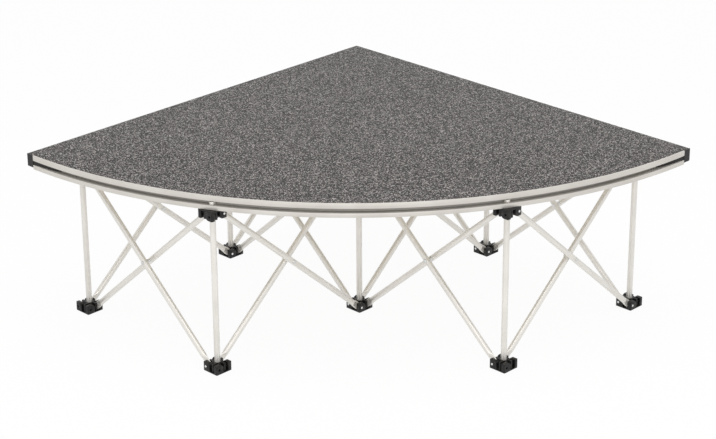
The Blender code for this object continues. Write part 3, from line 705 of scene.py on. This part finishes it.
# ABS: black, a little softer and glossier than the hubs, with a fine mould grain that is
# drawn coarser than it is.
abs_plastic, tree, shader = start_material("moulded_abs", Roughness=0.46, IOR=1.52,
                                           Specular_IOR_Level=0.35)
place = add_node(tree, "ShaderNodeTexCoord").outputs["Object"]
mottle = add_node(tree, "ShaderNodeTexNoise", {"Vector": place, "Scale": 1 / ABS_MOTTLE,
                                               "Detail": 4.0})
grain = add_node(tree, "ShaderNodeTexNoise", {"Vector": place, "Scale": 1 / ABS_GRAIN,
                                              "Detail": 2.0})
tint = add_node(tree, "ShaderNodeValToRGB", {"Fac": mottle.outputs["Fac"]},
                stops=[(0.3, "#141312"), (0.6, "#1d1b1a"), (0.8, "#2a2726")])
tree.links.new(tint.outputs["Color"], shader.inputs["Base Color"])
bump = add_node(tree, "ShaderNodeBump", {"Height": grain.outputs["Fac"], "Strength": 0.2,
                                         "Distance": 0.0001})
tree.links.new(bump.outputs["Normal"], shader.inputs["Normal"])
for node in ("cap_left", "cap_right", "cap_apex"):
    break_edges(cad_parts[node], CAP_EDGE)
    refinish(node, abs_plastic)


# Deck board and centre pad
# Birch plywood, sealed: its underside shows between the rails, whose ledges carry it. The
# black pad under its middle brings its load down to the centre hub.
GRAIN_WIDTH = 0.012
GRAIN_LENGTH = 0.25
VENEER = 0.0014
PAD_EDGE = 0.0006

# Sealed birch: pale and satin, with a long faint figure and the plies across the edge.
plywood, tree, shader = start_material("sealed_birch_plywood", Roughness=0.55, IOR=1.5)
place = add_node(tree, "ShaderNodeTexCoord").outputs["Object"]
along = add_node(tree, "ShaderNodeMapping",
                 {"Vector": place, "Scale": (1 / GRAIN_WIDTH, 1 / GRAIN_LENGTH, 1 / VENEER)})
figure = add_node(tree, "ShaderNodeTexNoise", {"Vector": along.outputs["Vector"], "Scale": 1.0,
                                               "Detail": 6.0, "Distortion": 0.4})
tint = add_node(tree, "ShaderNodeValToRGB", {"Fac": figure.outputs["Fac"]},
                stops=[(0.25, "#dacfbb"), (0.5, "#e8e0d1"), (0.75, "#f1ece1")])
tree.links.new(tint.outputs["Color"], shader.inputs["Base Color"])
bump = add_node(tree, "ShaderNodeBump", {"Height": figure.outputs["Fac"], "Strength": 0.15,
                                         "Distance": 0.0002})
tree.links.new(bump.outputs["Normal"], shader.inputs["Normal"])
refinish("deck_panel", plywood)
break_edges(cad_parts["support_pad"], PAD_EDGE)
refinish("support_pad", abs_plastic)


# Carpet
# Hard-wearing short loop-pile carpet, bonded to the board: it ends inside the lip of the
# arc and runs out over the straight rails. Its yarn mixes dark and pale greys as a fleck.
CARPET_INSET = 0.0033
CARPET_MARGIN = 0.0006
CARPET_SIDES = 480
CARPET_EDGE = 0.0009
PILE_PITCH = 0.0019
PILE_CLUMP = 0.006
FIBRE = 0.0008
YARN_SHARE = 0.76
CLUMP_SHARE = 0.08
FIBRE_SHARE = 0.2

carpet_low = deck_low[2]
carpet_high = deck_high[2]
bpy.ops.object.select_all(action="DESELECT")
bpy.ops.mesh.primitive_circle_add(vertices=CARPET_SIDES, radius=DECK_RADIUS - CARPET_INSET,
                                  fill_type="NGON", location=(corner.x, corner.y, carpet_low))
carpet = settle()
bpy.ops.object.mode_set(mode="EDIT")
for plane_no, plane_co in (((-1, 0, 0), (corner.x + CARPET_MARGIN, 0, 0)),
                           ((0, 1, 0), (0, corner.y - CARPET_MARGIN, 0))):
    bpy.ops.mesh.select_all(action="SELECT")
    bpy.ops.mesh.bisect(plane_co=plane_co, plane_no=plane_no, clear_outer=True, use_fill=False)
bpy.ops.mesh.select_all(action="SELECT")
bpy.ops.mesh.extrude_region_move(
    TRANSFORM_OT_translate={"value": (0, 0, carpet_high - carpet_low)})
bpy.ops.mesh.select_all(action="SELECT")
bpy.ops.mesh.normals_make_consistent(inside=False)
bpy.ops.object.mode_set(mode="OBJECT")
soften(carpet, CARPET_EDGE, segments=3, angle=60)

# Nylon loop pile: quite dull, with a faint sheen from its fibres. Each yarn loop has one
# of the mixed greys, its edge frayed by fibres that are drawn coarser than they are.
pile, tree, shader = start_material("loop_pile_carpet", Roughness=0.95, Sheen_Weight=0.1,
                                    Sheen_Roughness=0.6, Specular_IOR_Level=0.4)
place = add_node(tree, "ShaderNodeTexCoord").outputs["Object"]
fibre = add_node(tree, "ShaderNodeTexNoise", {"Vector": place, "Scale": 1 / FIBRE, "Detail": 3.0})
fray = add_node(tree, "ShaderNodeVectorMath", {0: fibre.outputs["Color"],
                                               1: (0.5 * PILE_PITCH,) * 3}, operation="MULTIPLY")
frayed = add_node(tree, "ShaderNodeVectorMath", {0: place, 1: fray.outputs[0]})
loops = add_node(tree, "ShaderNodeTexVoronoi", {"Vector": frayed.outputs[0],
                                                "Scale": 1 / PILE_PITCH})
fleck = add_node(tree, "ShaderNodeSeparateColor", {"Color": loops.outputs["Color"]})
clump = add_node(tree, "ShaderNodeTexNoise", {"Vector": place, "Scale": 1 / PILE_CLUMP,
                                              "Detail": 3.0})
yarn = add_node(tree, "ShaderNodeMath", {0: fleck.outputs["Red"], 1: YARN_SHARE},
                operation="MULTIPLY")
lumped = add_node(tree, "ShaderNodeMath", {0: clump.outputs["Fac"], 1: CLUMP_SHARE,
                                           2: yarn.outputs[0]}, operation="MULTIPLY_ADD")
spread = add_node(tree, "ShaderNodeMath", {0: fibre.outputs["Fac"], 1: FIBRE_SHARE,
                                           2: lumped.outputs[0]}, operation="MULTIPLY_ADD")
tint = add_node(tree, "ShaderNodeValToRGB", {"Fac": spread.outputs[0]},
                stops=[(0.2, "#0a0909"), (0.46, "#2b2827"), (0.66, "#524e4c"),
                       (0.88, "#bab5b2")])
tree.links.new(tint.outputs["Color"], shader.inputs["Base Color"])
height = add_node(tree, "ShaderNodeMath", {0: loops.outputs["Distance"], 1: -1.0,
                                           2: fibre.outputs["Fac"]}, operation="MULTIPLY_ADD")
bump = add_node(tree, "ShaderNodeBump", {"Height": height.outputs[0], "Strength": 0.6,
                                         "Distance": 0.001})
tree.links.new(bump.outputs["Normal"], shader.inputs["Normal"])
finish_piece(carpet, "carpet_cover", pile, "deck", ["deck_carpet"])
arc = DECK_RADIUS - CARPET_INSET
side = arc - CARPET_MARGIN


# Floor, light and camera
# A white sweep as in a catalogue picture: a pale floor, a broad soft light overhead and a
# smaller one behind the camera, whose long lens looks down on the middle of the arc.
FLOOR_SIZE = 60
FLOOR_WHITE = 0.94
FILL = 0.7
LIGHT_AIM = Vector((0, 0, 0.2))
LENS = 109.59
SENSOR = 36
CAMERA_SPOT = (3.04441, -3.07893, 2.08233)
CAMERA_TURN = (66.9612, 0.2955, 44.5856)
FAR_CLIP = 100


def seen_directly(tree):
    """1 where the camera sees the background, or a mirror or glass shows it."""
    rays = add_node(tree, "ShaderNodeLightPath").outputs
    seen = add_node(tree, "ShaderNodeMath", {0: rays["Is Camera Ray"], 1: rays["Is Glossy Ray"]},
                    operation="MAXIMUM")
    clear = add_node(tree, "ShaderNodeMath", {0: seen.outputs[0],
                                              1: rays["Is Transmission Ray"]},
                     operation="MAXIMUM")
    return clear.outputs[0]


bpy.ops.object.select_all(action="DESELECT")
bpy.ops.mesh.primitive_plane_add(size=FLOOR_SIZE, location=(0, 0, 0))
ground = bpy.context.object
ground.name = "studio_floor"
white, tree, shader = start_material("studio_white", Roughness=0.9)
shader.inputs["Base Color"].default_value = linear("#f4f4f4")
share = add_node(tree, "ShaderNodeMath", {0: seen_directly(tree), 1: FLOOR_WHITE},
                 operation="MULTIPLY")
lit = add_node(tree, "ShaderNodeEmission", {"Color": (1, 1, 1, 1), "Strength": 1.0})
blended = add_node(tree, "ShaderNodeMixShader", {0: share.outputs[0], 1: shader.outputs[0],
                                                 2: lit.outputs[0]})
tree.links.new(blended.outputs[0], tree.nodes["Material Output"].inputs["Surface"])
ground.data.materials.append(white)

world = bpy.data.worlds.new("studio")
world.use_nodes = True
bpy.context.scene.world = world
tree = world.node_tree
fill = tree.nodes["Background"]
fill.inputs["Color"].default_value = (1, 1, 1, 1)
fill.inputs["Strength"].default_value = FILL
plain = add_node(tree, "ShaderNodeBackground", {"Color": (1, 1, 1, 1), "Strength": 1.0})
blended = add_node(tree, "ShaderNodeMixShader", {0: seen_directly(tree), 1: fill.outputs[0],
                                                 2: plain.outputs[0]})
tree.links.new(blended.outputs[0], tree.nodes["World Output"].inputs["Surface"])


def softbox(name, spot, size, power):
    """A square soft light aimed at the middle of the riser."""
    lamp = bpy.data.lights.new(name, "AREA")
    lamp.shape = "SQUARE"
    lamp.size = size
    lamp.energy = power
    obj = bpy.data.objects.new(name, lamp)
    obj.location = spot
    obj.rotation_euler = (LIGHT_AIM - Vector(spot)).to_track_quat("-Z", "Y").to_euler()
    bpy.context.scene.collection.objects.link(obj)


softbox("overhead", (0.4, -0.4, 3.2), size=2.6, power=35)
softbox("front", (3.4, -3.4, 2.1), size=0.9, power=56)

camera = bpy.data.objects.new("camera", bpy.data.cameras.new("camera"))
bpy.context.scene.collection.objects.link(camera)
camera.data.sensor_width = SENSOR
camera.data.lens = LENS
camera.location = CAMERA_SPOT
camera.rotation_euler = [math.radians(angle) for angle in CAMERA_TURN]
camera.data.clip_end = FAR_CLIP
bpy.context.scene.camera = camera
bpy.context.scene.view_settings.view_transform = "Standard"
